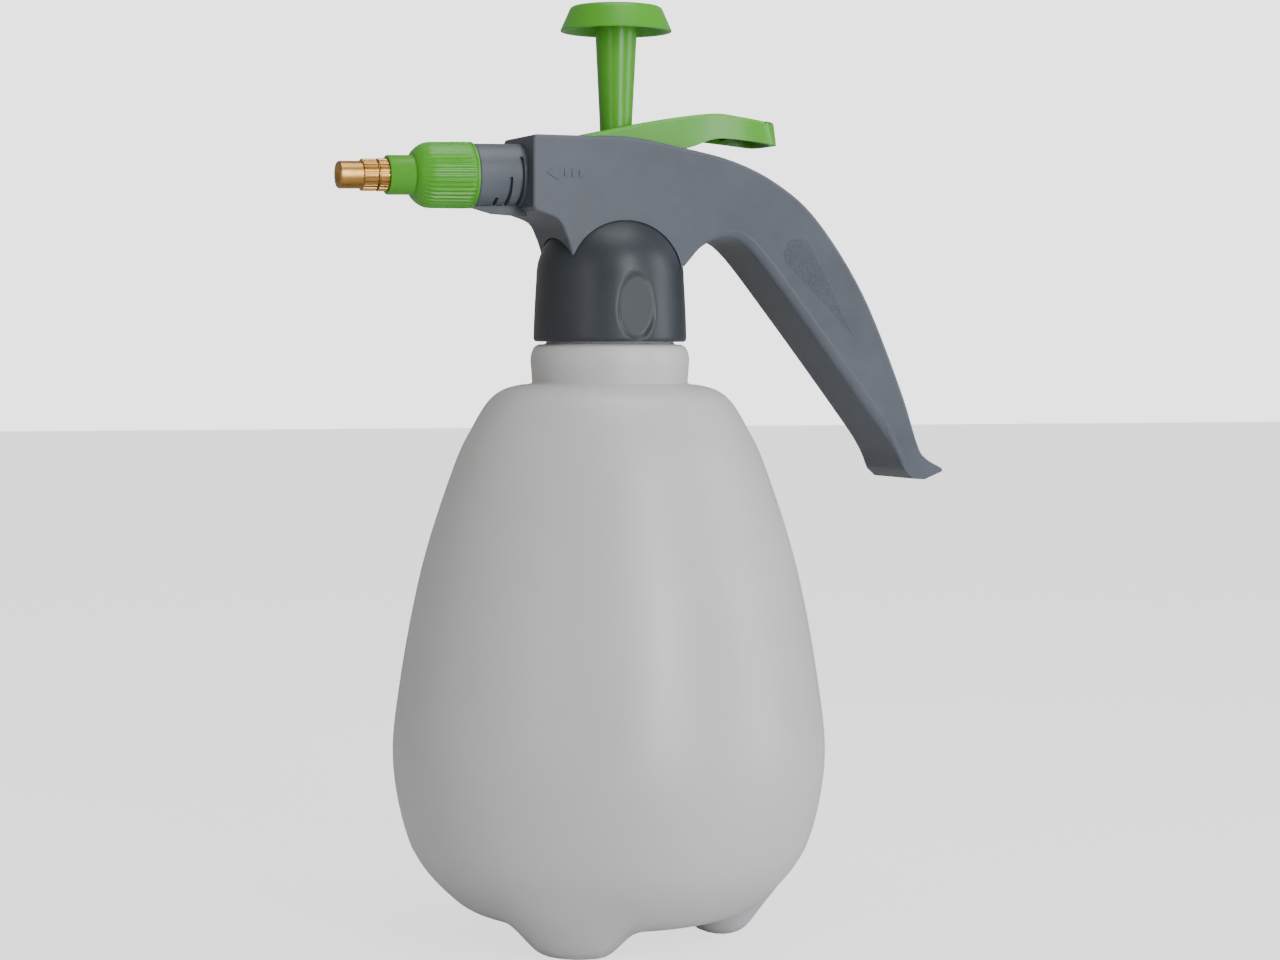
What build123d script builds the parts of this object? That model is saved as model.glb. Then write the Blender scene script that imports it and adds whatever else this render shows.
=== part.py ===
"""Two-litre hand pump sprayer: a blow-moulded bottle, a screw-on pump head, a thumb lever and a brass nozzle.

Millimetres, +Z up. The origin is where the bottle's axis meets the floor. The nozzle points along -X and
the handle reaches out along +X. Everything is drawn with the pump pushed down and the lever released.
"""

import os
from math import cos, hypot, pi, sin

from build123d import *

# ---- driving dimensions ----------------------------------------------------------------------------
GAP = 0.35            # clearance between curved faces of pieces that move past each other
RUNNING = 0.06        # radial clearance of a shaft in its own hole

BOTTLE_WALL = 1.8
BOTTLE_OUTLINE = [(0, 8.5), (28, 7.4), (43.5, 9.4), (53.6, 15.5), (65.3, 30.4), (71.3, 56.8), (69.4, 83.2),
                  (61.9, 122.8), (51.4, 155.8), (45.2, 169), (39.9, 177.5), (29.4, 182.8)]
FOOT_ANGLES = (112, 232, 352)
FOOT_CENTRE_R = 37.6
FOOT_PAD_R = 7.2
FOOT_WIDENING = 1.4    # the feet are wider round the bottle than along its radius
NECK_RING_Z, NECK_RING_R = 196.1, 26.2
NECK_R, NECK_BORE_R, RIM_Z = 21.0, 18.5, 214.0

THREAD_PITCH, THREAD_DEPTH = 5.0, 1.1
THREAD_Z0, THREAD_TURNS = 200.0, 1.9

COLLAR_Z0 = 196.9
COLLAR_R_LOW, COLLAR_R_HIGH = 25.2, 24.3
DOME_Z, DOME_HEIGHT = 218.0, 22.7
COLLAR_SHOULDER_Z = 220.4
COLLAR_HOLE_R = 14.6
COLLAR_BORE_R = 22.9
GRIP_HALF_W, GRIP_HALF_H, GRIP_Z = 6.4, 10.5, 208.4

HEAD_HALF_W = 15.0
INNER_EDGE_R, OUTER_EDGE_R = 3.4, 1.3    # roundings along the handle
HEAD_NECK_R = 14.2
FLANGE_R, FLANGE_Z = 20.5, (217.0, 220.0)
SLOT_HALF_W, SLOT_FLOOR_Z, SLOT_X = 11.0, 253.0, (-28.5, 37.0)
CHANNEL_HALF_W = 11.5

NOZZLE_Z, NOZZLE_DROOP, DROOP_X = 250.7, 1.2, -34.0
SPOUT_R, SPOUT_X = 10.15, (-48.1, -30.0)
SPIGOT_R, SPIGOT_X = 7.2, -62.0

PUMP_X = 1.9
CYLINDER_R, CYLINDER_BORE_R = 9.7, 8.1
CYLINDER_Z = (66.0, 224.0)
ROD_R = 5.2
KNOB_TOP_Z, KNOB_RIM_Z, KNOB_R, KNOB_TOP_R = 307.0, 298.4, 18.3, 15.2

VALVE_X = -11.2
VALVE_STEM_R = 1.5
DIP_TUBE_R, DIP_TUBE_BORE_R = 2.6, 1.75

PIVOT_X, PIVOT_Z, PIVOT_R = -24.0, 256.6, 2.4
LEVER_WALL = 1.9


# ---- shared shapes ---------------------------------------------------------------------------------
def turned(outline, axis_x=0.0):
    """Solid of revolution of a closed (radius, height) outline about the upright line x = axis_x."""
    face = Plane.XZ * make_face(Polyline(*outline, close=True))
    return Pos(axis_x, 0, 0) * revolve(face, Axis.Z)


def on_nozzle(x):
    """Place on the nozzle's slightly drooping axis, at x along it, with the local x along the axis."""
    return Pos(DROOP_X, 0, NOZZLE_Z) * Rot(0, -NOZZLE_DROOP, 0) * Pos(x - DROOP_X, 0, 0)


def turned_nozzle(outline):
    """Solid of revolution of a closed (x, radius) outline about the nozzle's axis."""
    return on_nozzle(0) * revolve(Plane.XZ * make_face(Polyline(*outline, close=True)), Axis.X)


def rod(radius, z0, z1, x=0.0):
    return Pos(x, 0, (z0 + z1) / 2) * Cylinder(radius, z1 - z0)


def tube(outer, bore, z0, z1, x=0.0):
    return rod(outer, z0, z1, x) - rod(bore, z0 - 1, z1 + 1, x)


def nozzle_rod(radius, x0, x1):
    return on_nozzle((x0 + x1) / 2) * Rot(0, 90, 0) * Cylinder(radius, x1 - x0)


def block(x, y, z):
    """Box from its low and high values along each axis."""
    size = [v[1] - v[0] for v in (x, y, z)]
    return Pos(*[(v[0] + v[1]) / 2 for v in (x, y, z)]) * Box(*size)


def side_plate(outline, half_width):
    """Extrudes a closed side-view wire (x, z) to both sides of the middle plane."""
    return extrude(Plane.XZ * make_face(outline), half_width, both=True)


def ridge_thread(root_r, depth, z0, turns, width_root, width_crest, inward=False):
    """One-start helical ridge that stands on a cylinder, a little sunk into it so that the two fuse."""
    side = -1 if inward else 1
    sunk = 0.25
    path = Helix(THREAD_PITCH, THREAD_PITCH * turns, root_r)
    profile = make_face(Polyline((-side * sunk, -width_root / 2), (side * depth, -width_crest / 2),
                                 (side * depth, width_crest / 2), (-side * sunk, width_root / 2), close=True))
    start = Plane(origin=(root_r, 0, 0), x_dir=(1, 0, 0), z_dir=(0, -1, 0))
    return Pos(0, 0, z0) * sweep(start * profile, path, is_frenet=True)


def ribbed_prism(radius, depth, count):
    """Sketch of a circle with a saw-like edge of count teeth."""
    step = 2 * pi / count
    points = []
    for i in range(count):
        for share, r in ((0.0, radius), (0.45, radius), (0.6, radius - depth), (0.85, radius - depth)):
            angle = (i + share) * step
            points.append((r * cos(angle), r * sin(angle)))
    return make_face(Polyline(*points, close=True))


def inset(outline, wall):
    """Moves each point of an open (radius, height) outline inwards by the wall, square to the outline."""
    moved = []
    for i, (r, z) in enumerate(outline):
        before, after = outline[max(i - 1, 0)], outline[min(i + 1, len(outline) - 1)]
        dr, dz = after[0] - before[0], after[1] - before[1]
        if r == 0:
            dr, dz = 1, 0
        length = hypot(dr, dz)
        moved.append((max(r - wall * dz / length, 0), z + wall * dr / length))
    return moved


# ---- bottle ----------------------------------------------------------------------------------------
def vessel(outline, top_z):
    """Body of the bottle as a solid, from its outline up to a plug of the last radius."""
    spline = Spline(*outline, tangents=((1, 0), (-1, 0.25)))
    last_r, last_z = outline[-1]
    rest = Polyline((last_r, last_z), (last_r, top_z), (0, top_z), (0, outline[0][1]))
    return revolve(Plane.XZ * make_face(spline + rest), Axis.Z)


def foot(wall):
    """Moulded foot: an oval pad on the floor that flares up into the body."""
    pad = FOOT_PAD_R - wall / 2
    outline = [(0, wall - 1), (pad, wall - 1), (pad, wall), (pad + 1.6, wall + 0.7), (14.2 - wall, 9),
               (17.9 - wall, 14), (21.2 - wall, 19), (16 - wall, 25), (0, 25)]
    flared = scale(turned(outline), (1, FOOT_WIDENING, 1))
    return flared - block((-30, 30), (-30, 30), (wall - 2, wall))


def bottle():
    outer = vessel(BOTTLE_OUTLINE, 190)
    inner_outline = inset(BOTTLE_OUTLINE, BOTTLE_WALL)
    inner = vessel(inner_outline, inner_outline[-1][1] + 0.01)
    for angle in FOOT_ANGLES:
        place = Rot(0, 0, angle) * Pos(FOOT_CENTRE_R, 0, 0)
        outer += place * foot(0)
        inner += place * foot(BOTTLE_WALL)
    ring_r = NECK_RING_R
    outer = outer - tube(60, 25.6, 182.9, 200)
    neck = turned([(0, 182), (25.6, 182), (ring_r, 190.5), (ring_r - 0.2, 192.8), (ring_r - 1.3, NECK_RING_Z - 0.5),
                   (ring_r - 2.6, NECK_RING_Z), (NECK_R, NECK_RING_Z), (NECK_R, RIM_Z - 0.6), (NECK_R - 0.6, RIM_Z),
                   (0, RIM_Z)])
    bore = turned([(0, 178), (23.8, 178), (23.8, 192), (NECK_BORE_R, 195.5), (NECK_BORE_R, RIM_Z + 1),
                   (0, RIM_Z + 1)])
    thread = ridge_thread(NECK_R, THREAD_DEPTH, THREAD_Z0, THREAD_TURNS, 2.2, 1.1)
    return outer + neck - inner - bore + thread


# ---- collar nut ------------------------------------------------------------------------------------
def dome(extra):
    """Outer shape of the collar, grown by extra."""
    low_r, high_r = COLLAR_R_LOW + extra, COLLAR_R_HIGH + extra
    height = DOME_HEIGHT + extra
    arc = EllipticalCenterArc((0, DOME_Z), high_r, height, start_angle=0, arc_size=90)
    sides = Polyline((0, DOME_Z + height), (0, COLLAR_Z0), (low_r - 0.9, COLLAR_Z0), (low_r, COLLAR_Z0 + 0.9),
                     (low_r, COLLAR_Z0 + 2.0), (high_r, DOME_Z))
    return revolve(Plane.XZ * make_face(arc + sides), Axis.Z)


def collar_nut():
    body = dome(0)
    step_r = FLANGE_R - 3
    hollow = turned([(0, 190), (COLLAR_BORE_R + 0.6, 190), (COLLAR_BORE_R + 0.6, COLLAR_Z0 + 0.5),
                     (COLLAR_BORE_R, COLLAR_Z0 + 1.5), (COLLAR_BORE_R, COLLAR_SHOULDER_Z),
                     (step_r, COLLAR_SHOULDER_Z), (step_r, 227), (COLLAR_HOLE_R, 230), (COLLAR_HOLE_R, 245), (0, 245)])
    body -= hollow
    flat_y = COLLAR_R_HIGH - 0.6
    for angle in (0, 180):
        oval = Plane.XZ * Ellipse(GRIP_HALF_W, GRIP_HALF_H)
        body -= Rot(0, 0, angle) * Pos(0, -flat_y, GRIP_Z) * extrude(oval, 5)
    ridge = ridge_thread(COLLAR_BORE_R, THREAD_DEPTH, THREAD_Z0 + THREAD_PITCH / 2, 1.6, 2.2, 1.1, inward=True)
    return body + ridge


# ---- head housing ----------------------------------------------------------------------------------
HEAD_TOP_Z = 263.2
OUTER_EDGE = [(1.7, HEAD_TOP_Z), (16.7, 260.9), (37.9, 256.4), (54.7, 248.8), (69.0, 236.9), (85.5, 213.1),
              (99.5, 181.8), (105.9, 163.0)]
INNER_EDGE = [(97.0, 161.5), (86.8, 174.9), (61.3, 206.9), (44.0, 227.2)]


def head_outline(inward=0.0):
    """Side view of the housing and handle as one closed wire."""
    top = Polyline((-32, HEAD_TOP_Z - 1.2), (-30.8, HEAD_TOP_Z), OUTER_EDGE[0])
    back = Spline(*OUTER_EDGE, tangents=((1, 0), (0.42, -1)))
    lip = Spline(OUTER_EDGE[-1], (109.0, 158.0), (115.6, 154.3), tangents=((0.42, -1), (1, -0.35)))
    tip = Polyline((115.6, 154.3), (115.6, 153.2), (109.0, 150.6), (104.4, 150.9), (101.2, 153.6), INNER_EDGE[0])
    inner = Spline(*INNER_EDGE, tangents=((-0.6, 1), (-1, 0.9)))
    arch = Spline(INNER_EDGE[-1], (35.0, 230.9), (18.8, 221.5), tangents=((-1, 0.9), (-0.55, -1)))
    front = Polyline((18.8, 221.5), (16, 221), (-16, 221), (-18.4, 223.6), (-20.8, 231.1), (-23.6, 235.9),
                     (-31.0, 238.7), (-32, 240), (-32, HEAD_TOP_Z - 1.2))
    return top + back + lip + tip + inner + arch + front


def spout():
    """Tube that carries the nozzle, with cooling-slot like grooves over its top and a web under it."""
    barrel = nozzle_rod(SPOUT_R, *SPOUT_X)
    for i in range(4):
        x = -45.8 + 4.0 * i
        reach = 5.0 - 2.4 * i
        ring = nozzle_rod(SPOUT_R + 1, x - 0.6, x + 0.6) - nozzle_rod(SPOUT_R - 1.3, x - 1, x + 1)
        barrel -= ring & block((x - 1, x + 1), (-20, 20), (NOZZLE_Z + reach, NOZZLE_Z + 20))
    web = side_plate(Polyline((-47.8, 240.6), (-47.8, 239.9), (-41, 238.1), (-30, 237.4), (-30, 243), (-47, 243),
                              close=True), 1.6)
    return barrel + web + nozzle_rod(SPIGOT_R, SPIGOT_X, SPOUT_X[0] + 1)


def handle_channel():
    """Space inside the handle, open along its outer side, between the two walls."""
    inner = Spline((52, 224.4), (66.0, 208.0), (91.0, 176.4), (99.3, 165.0), tangents=((1, -1.1), (0.6, -1)))
    rest = Polyline((99.3, 165.0), (102.0, 160.0), (130, 160.0), (130, 262), (40, 262), (40, 240), (44, 232),
                    (52, 224.4))
    return side_plate(inner + rest, CHANNEL_HALF_W)


def handle_ribs(blank):
    """Cross ribs that join the two walls of the handle."""
    ribs = None
    for x, z, tilt in ((50, 238, 38), (62, 226, 30), (73, 211, 24), (83, 194, 20), (92, 177, 18)):
        sheet = Pos(x, 0, z) * Rot(0, tilt, 0) * Box(60, 2 * CHANNEL_HALF_W + 1, 1.8)
        ribs = sheet & blank if ribs is None else ribs + (sheet & blank)
    return ribs


def head_housing():
    blank = side_plate(head_outline(), HEAD_HALF_W)
    inner_edges = blank.edges().filter_by(lambda e: abs(abs(e.center().Y) - HEAD_HALF_W) < 0.01
                                          and e.center().X > 30 and e.center().Z < 233
                                          and e.center().X < 98 and e.length > 12)
    outer_edges = blank.edges().filter_by(lambda e: abs(abs(e.center().Y) - HEAD_HALF_W) < 0.01
                                          and (e.center().Z > 240 or e.center().X > 84) and e.length > 25
                                          and e not in inner_edges)
    for edges, radius in ((inner_edges, INNER_EDGE_R), (outer_edges, OUTER_EDGE_R)):
        blank = fillet(edges, radius)
    slim = side_plate(head_outline(), HEAD_HALF_W) & Pos(-1.2, 0, -1.2) * side_plate(head_outline(), HEAD_HALF_W)
    body = blank - handle_channel() + handle_ribs(slim)
    body -= dome(GAP)
    body += rod(HEAD_NECK_R, FLANGE_Z[0], 242) + rod(FLANGE_R, *FLANGE_Z)
    body += spout()
    body -= block(SLOT_X, (-SLOT_HALF_W, SLOT_HALF_W), (SLOT_FLOOR_Z, 275))
    for side in (-1, 1):
        body -= block((-28, -18), (side * 7 - 3, side * 7 + 3), (242, 260))
    body -= block((16, 36), (-SLOT_HALF_W, SLOT_HALF_W), (241, 260))
    body += block((25, 27), (-SLOT_HALF_W - 1, SLOT_HALF_W + 1), (240, 252))
    # valve tower and its bores, pump bore, liquid way to the nozzle, lever bearings
    body += rod(6.6, 244, 253.5, VALVE_X)
    body -= rod(4.4, 244.7, 260, VALVE_X)
    body -= rod(3.4, 237.5, 248, VALVE_X)
    body -= rod(1.3, 220, 240, VALVE_X)
    body -= rod(2.17, 210, 223, VALVE_X)
    body -= nozzle_rod(1.6, -70, VALVE_X)
    body -= nozzle_rod(4.4, -70, -52)
    body -= rod(ROD_R + GAP, 226, 260, PUMP_X)
    body -= rod(CYLINDER_R + 0.02, 210, CYLINDER_Z[1] + 2.0, PUMP_X)
    body -= Pos(PIVOT_X, 0, PIVOT_Z) * Rot(90, 0, 0) * Cylinder(PIVOT_R + RUNNING, 2 * 12.8)
    return body + arrow_mark()


def arrow_mark():
    """Raised plain arrow with three bars on each side, which shows the way the spray goes."""
    y = HEAD_HALF_W
    head = Polyline((-27.5, 251), (-23.5, 253.4), (-23.5, 248.6), close=True)
    marks = side_plate(head, y + 0.25)
    for i in range(3):
        x = -21.5 + 2.6 * i
        marks += block((x, x + 1.5), (-y - 0.25, y + 0.25), (249.8, 252.2))
    return marks - block((-30, 0), (-y + 0.5, y - 0.5), (240, 260))


# ---- pump ------------------------------------------------------------------------------------------
def pump_handle():
    """Mushroom knob and its hollow stem, one moulding."""
    cap = turned([(0, KNOB_TOP_Z), (KNOB_TOP_R - 1.5, KNOB_TOP_Z - 0.25), (KNOB_TOP_R, KNOB_TOP_Z - 1.2),
                  (KNOB_R - 0.2, KNOB_RIM_Z + 1.0), (KNOB_R, KNOB_RIM_Z), (KNOB_R - 1.6, KNOB_RIM_Z),
                  (KNOB_TOP_R - 2.2, KNOB_TOP_Z - 3.0), (0, KNOB_TOP_Z - 3.0)])
    stem = turned([(0, KNOB_TOP_Z - 2), (8.2, KNOB_TOP_Z - 2), (6.9, 300), (6.7, 295.7), (5.4, 270), (ROD_R, 264),
                   (ROD_R, 200), (0, 200)])
    return Pos(PUMP_X, 0, 0) * (cap + stem - rod(3.6, 199, 262))


def piston_rod():
    return rod(3.55, 198, 261, PUMP_X) + rod(5.0, 86, 199.9, PUMP_X) + rod(3.0, 75.4, 87, PUMP_X)


def piston():
    body = turned([(3.05, 75.2), (7.8, 75.2), (7.8, 77.6), (6.2, 77.6), (6.2, 80.6), (7.8, 80.6), (7.8, 83.5),
                   (6.0, 86), (3.05, 86)])
    return Pos(PUMP_X, 0, 0) * body


def ring_seal(radius, section, z, x):
    """Round-section ring that lies flat."""
    return Pos(x, 0, z) * Torus(radius, section)


def pump_cylinder():
    z0, z1 = CYLINDER_Z
    body = turned([(CYLINDER_BORE_R, z1), (CYLINDER_R - 0.1, z1), (CYLINDER_R - 0.1, 217), (12.4, 217), (12.4, 215),
                   (CYLINDER_R - 0.1, 213), (CYLINDER_R - 0.1, 73), (8.6, 73), (8.6, z0), (7.2, z0), (7.2, 71),
                   (0, 71), (0, 73.2), (CYLINDER_BORE_R, 73.2)])
    body -= rod(3.1, 210, 218, VALVE_X - PUMP_X)
    body -= rod(1.3, 60, 80)
    for place in PolarLocations(4.6, 6):
        body -= place * rod(1.0, 60, 80)
    return Pos(PUMP_X, 0, 0) * body


def rod_guide():
    """Bush that closes the cylinder's top and steadies the rod."""
    body = turned([(ROD_R + RUNNING, 216), (CYLINDER_BORE_R - 0.05, 216), (CYLINDER_BORE_R - 0.05, 224.0),
                   (CYLINDER_R - 0.1, 224.0), (CYLINDER_R - 0.1, 225.8), (ROD_R + RUNNING, 225.8)])
    body -= block((6.9, 7.9), (-0.8, 0.8), (210, 230))
    return Pos(PUMP_X, 0, 0) * body


def check_valve():
    """Rubber umbrella under the cylinder's floor: it lets air out into the bottle and none back."""
    stem = [(0, 69.2), (6.2, 69.6), (6.0, 70.9), (1.2, 70.9), (1.2, 73.3), (1.9, 73.3), (1.2, 74.6), (0, 74.6)]
    return turned(stem, PUMP_X)


def cylinder_foot_cap():
    """Vented cap round the cylinder's lower end."""
    cap = turned([(8.65, 72.8), (9.75, 72.8), (9.75, 61.5), (8.0, 59.0), (0, 59.0), (0, 60.8), (7.0, 60.8),
                  (8.0, 62.4), (8.0, 65.9), (8.65, 65.9)])
    for place in PolarLocations(5.2, 6):
        cap -= place * rod(1.2, 50, 64)
    return Pos(PUMP_X, 0, 0) * cap


# ---- liquid way ------------------------------------------------------------------------------------
def dip_tube():
    return tube(DIP_TUBE_R, DIP_TUBE_BORE_R, 17, 212.5, VALVE_X)


def inlet_nipple():
    """Barbed piece that joins the dip tube to the head."""
    body = turned([(1.0, 206), (1.4, 206), (DIP_TUBE_BORE_R - 0.05, 208), (1.4, 208.2), (DIP_TUBE_BORE_R - 0.05, 211),
                   (1.4, 211.2), (1.6, 212.6), (2.8, 212.6), (2.8, 217), (2.15, 217), (2.15, 222.9), (1.0, 222.9)])
    return Pos(VALVE_X, 0, 0) * body


def dip_tube_filter():
    """Slotted cup on the dip tube's end."""
    cup = tube(4.0, DIP_TUBE_R + 0.05, 11.4, 25, VALVE_X) + rod(4.0, 10.4, 12.2, VALVE_X)
    for angle in (0, 60, 120):
        cup -= Pos(VALVE_X, 0, 14.6) * Rot(0, 0, angle) * Box(12, 1.0, 4.0)
    return cup


def valve_seat():
    return Pos(VALVE_X, 0, 0) * turned([(2.1, 244.75), (4.35, 244.75), (4.35, 247.3), (2.6, 247.3), (2.1, 246.8)])


def valve_stem():
    """Plunger: pushed down by the lever, it opens the way past its head."""
    body = turned([(0, 261.0), (2.2, 261.0), (2.8, 260.4), (2.8, 259.4), (VALVE_STEM_R, 259.4), (VALVE_STEM_R, 243.2),
                   (2.9, 243.2), (2.9, 241.8), (1.3, 241.8), (1.3, 240.2), (0, 240.2)])
    return Pos(VALVE_X, 0, 0) * body


def valve_washer():
    return Pos(VALVE_X, 0, 0) * turned([(VALVE_STEM_R + 0.02, 243.25), (2.9, 243.25), (2.9, 244.65),
                                        (VALVE_STEM_R + 0.02, 244.65)])


def valve_spring():
    """Compression spring under the plunger."""
    z0, turns, coil_r, wire_r = 237.6, 3.5, 2.2, 0.3
    height = 241.6 - z0 - 2 * wire_r
    path = Helix(height / turns, height, coil_r)
    start = Plane(origin=(coil_r, 0, 0), x_dir=(1, 0, 0), z_dir=(0, 1, 0))
    return Pos(VALVE_X, 0, z0 + wire_r) * sweep(start * Circle(wire_r), path, is_frenet=True)


def valve_gland():
    """Screwed plug that holds the stem's ring seal."""
    body = turned([(VALVE_STEM_R + RUNNING, 253.9), (4.4, 253.9), (4.4, 255.2), (5.6, 255.2), (5.6, 257.2),
                   (VALVE_STEM_R + RUNNING, 257.2)])
    return Pos(VALVE_X, 0, 0) * body


# ---- lever -----------------------------------------------------------------------------------------
def lever_shape(inward):
    """Solid between the lever's top and bottom in side view and inside its plan, all moved inwards."""
    boss = 3.1
    top = Spline((PIVOT_X - 0.8, PIVOT_Z + boss - inward), (-12.7, 263.8 - inward), (18.8, 270.4 - inward),
                 (33.0, 272.2 - inward), (41.5, 271.2 - inward), (53.4, 269.7 - inward),
                 tangents=((1, 0.3), (1, -0.12)))
    end = Spline((53.4, 269.7 - inward), (57.0 - inward, 266.6), (56.8 - inward, 262.4),
                 tangents=((1, -0.12), (-0.15, -1)))
    low = Spline((55.0 - inward, 262.3), (43.7, 263.5), (33.1, 263.8), (23.2, 260.4), (4.0, 256.9), (-10.0, 254.9),
                 (PIVOT_X, PIVOT_Z - boss + 0.1), tangents=((-1, 0.05), (-1, -0.15)))
    nose = Polyline((PIVOT_X, PIVOT_Z - boss + 0.1), (PIVOT_X - 2.6, 255.0), (PIVOT_X - 3.1, 257.4),
                    (PIVOT_X - 0.8, PIVOT_Z + boss - inward))
    wire = top + end + Line((56.8 - inward, 262.4), (55.0 - inward, 262.3)) + low + nose
    side = side_plate(wire, 14)
    half = 9.6 - inward
    wide = 11.4 - inward
    edge = Spline((-28, half), (8, half), (30, half + 0.5), (43, wide), (52.5, wide - 1.2), (57.3 - inward, 0),
                  tangents=((1, 0), (0, -1)))
    plan = edge + mirror(edge, Plane.XZ) + Line((-28, -half), (-28, half))
    return side & (Pos(0, 0, 240) * extrude(make_face(plan), 45))


def trigger_lever():
    outer = lever_shape(0)
    core = lever_shape(LEVER_WALL)
    body = outer - core
    for drop in (2, 4, 6, 8):
        body -= Pos(0, 0, -drop) * core
    body += outer & block((PIVOT_X - 4, PIVOT_X + 4), (-10, 10), (250, 262))
    body += outer & block((VALVE_X - 3.0, VALVE_X + 3.0), (-9, 9), (261.35, 266))
    for x in (20.0, 32.0, 44.0):
        body += outer & block((x - 0.7, x + 0.7), (-11, 11), (264, 275))
    slot_x = (-6.2, 8.8)
    body -= block((slot_x[0] + 5, slot_x[1] - 5), (-6.5, 6.5), (240, 290))
    for x in (slot_x[0] + 6.5, slot_x[1] - 6.5):
        body -= rod(6.5, 240, 290, x)
    axle = Pos(PIVOT_X, 0, PIVOT_Z) * Rot(90, 0, 0) * Cylinder(PIVOT_R, 2 * 12.6)
    return body + axle


# ---- nozzle ----------------------------------------------------------------------------------------
def nozzle_nut():
    """Ribbed nut that clamps the brass nozzle on the spout's spigot."""
    body = turned_nozzle([(-48.1, SPIGOT_R + 0.05), (-48.1, 10.7), (-49.3, 10.7), (-49.3, 10.2), (-62.4, 10.2),
                          (-63.7, 9.85), (-67.2, 9.2), (-68.4, 7.8), (-68.4, 6.35), (-76.6, 6.35), (-76.6, 3.3),
                          (-71, 3.3), (-71, 4.3), (-64.4, 4.3), (-64.4, SPIGOT_R + 0.05)])
    grip = on_nozzle(-61.5) * Rot(0, 90, 0) * extrude(ribbed_prism(10.75, 0.5, 40), 12.0)
    return body + (grip - nozzle_rod(9.5, -62, -49))


def nozzle_stem():
    """Brass body: a foot inside the nut, a knurled ring in front of it and a threaded spigot for the cap."""
    body = turned_nozzle([(-62.3, 1.2), (-62.3, 6.6), (-64.2, 6.6), (-64.2, 4.2), (-70.9, 4.2), (-70.9, 3.2),
                          (-76.65, 3.2), (-76.65, 4.6), (-80.0, 4.6), (-80.0, 3.6), (-81.0, 3.6), (-81.0, 2.9),
                          (-82.2, 2.9), (-82.2, 3.2), (-88.4, 3.2), (-88.4, 1.2)])
    grip = on_nozzle(-79.7) * Rot(0, 90, 0) * extrude(ribbed_prism(5.25, 0.35, 24), 3.0)
    return body + (grip - nozzle_rod(4.2, -80, -76))


def nozzle_o_ring():
    return on_nozzle(-81.6) * Rot(0, 90, 0) * Torus(3.35, 0.42)


def nozzle_washer():
    return turned_nozzle([(-62.2, 1.8), (-62.2, 6.9), (-62.0, 6.9), (-62.0, 1.8)])


def swirl_core():
    """Grooved plug in the nozzle stem's tip that sets the liquid spinning."""
    body = nozzle_rod(2.6, -89.4, -88.5) + nozzle_rod(1.15, -88.6, -82)
    for angle in (0, 120, 240):
        groove = on_nozzle(-89.4) * Rot(angle, 0, 0) * Pos(0, 1.6, 0.9) * Box(0.8, 4, 0.6)
        body -= groove
    return body


def nozzle_cap():
    """Brass cap with the orifice; turning it changes the spray from a jet to a mist."""
    body = turned_nozzle([(-80.4, 3.85), (-80.4, 4.6), (-85.0, 4.6), (-85.2, 4.4), (-92.2, 4.4), (-92.6, 4.1),
                          (-92.6, 2.7), (-91.0, 0.9), (-90.6, 0.5), (-89.8, 0.5), (-89.8, 3.35), (-82.4, 3.35),
                          (-82.4, 3.85)])
    grip = on_nozzle(-84.9) * Rot(0, 90, 0) * extrude(ribbed_prism(5.15, 0.35, 24), 4.4)
    return body + (grip - nozzle_rod(4.2, -86, -80))


def neck_gasket():
    return tube(FLANGE_R - 0.1, 16.2, RIM_Z, FLANGE_Z[0])


def main():
    pieces = {
        "bottle": bottle(),
        "collar_nut": collar_nut(),
        "head_housing": head_housing(),
        "neck_gasket": neck_gasket(),
        "pump_cylinder": pump_cylinder(),
        "rod_guide": rod_guide(),
        "cylinder_foot_cap": cylinder_foot_cap(),
        "check_valve": check_valve(),
        "pump_handle": pump_handle(),
        "piston_rod": piston_rod(),
        "piston": piston(),
        "piston_seal": ring_seal(7.12, 0.9, 79.1, PUMP_X),
        "dip_tube": dip_tube(),
        "dip_tube_filter": dip_tube_filter(),
        "inlet_nipple": inlet_nipple(),
        "valve_seat": valve_seat(),
        "valve_stem": valve_stem(),
        "valve_washer": valve_washer(),
        "valve_spring": valve_spring(),
        "stem_o_ring": ring_seal(2.7, 1.1, 252.7, VALVE_X),
        "valve_gland": valve_gland(),
        "trigger_lever": trigger_lever(),
        "nozzle_nut": nozzle_nut(),
        "nozzle_stem": nozzle_stem(),
        "nozzle_o_ring": nozzle_o_ring(),
        "nozzle_washer": nozzle_washer(),
        "swirl_core": swirl_core(),
        "nozzle_cap": nozzle_cap(),
    }
    os.makedirs("parts", exist_ok=True)
    for name, shape in pieces.items():
        export_step(shape, f"parts/{name}.step")


main()
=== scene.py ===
"""Looks of the two-litre hand pump sprayer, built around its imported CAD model. Metres, +Z up."""

from math import acos, atan2, cos, exp, hypot, pi, radians, sin, sqrt

import bpy
from mathutils import Matrix, Quaternion, Vector


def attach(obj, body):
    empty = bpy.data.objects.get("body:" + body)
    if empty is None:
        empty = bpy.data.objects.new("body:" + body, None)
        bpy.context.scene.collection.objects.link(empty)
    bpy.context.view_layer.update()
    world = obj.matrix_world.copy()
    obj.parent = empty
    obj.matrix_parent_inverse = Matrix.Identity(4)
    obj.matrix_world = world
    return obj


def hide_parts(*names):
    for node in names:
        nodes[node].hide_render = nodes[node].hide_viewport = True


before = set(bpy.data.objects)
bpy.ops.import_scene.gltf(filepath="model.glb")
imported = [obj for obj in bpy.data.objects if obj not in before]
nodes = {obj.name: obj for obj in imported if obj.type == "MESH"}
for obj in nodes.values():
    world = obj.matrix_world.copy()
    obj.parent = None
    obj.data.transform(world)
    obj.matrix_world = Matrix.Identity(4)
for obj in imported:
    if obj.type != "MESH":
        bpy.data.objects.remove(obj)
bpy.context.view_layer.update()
MM = 0.001

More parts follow.
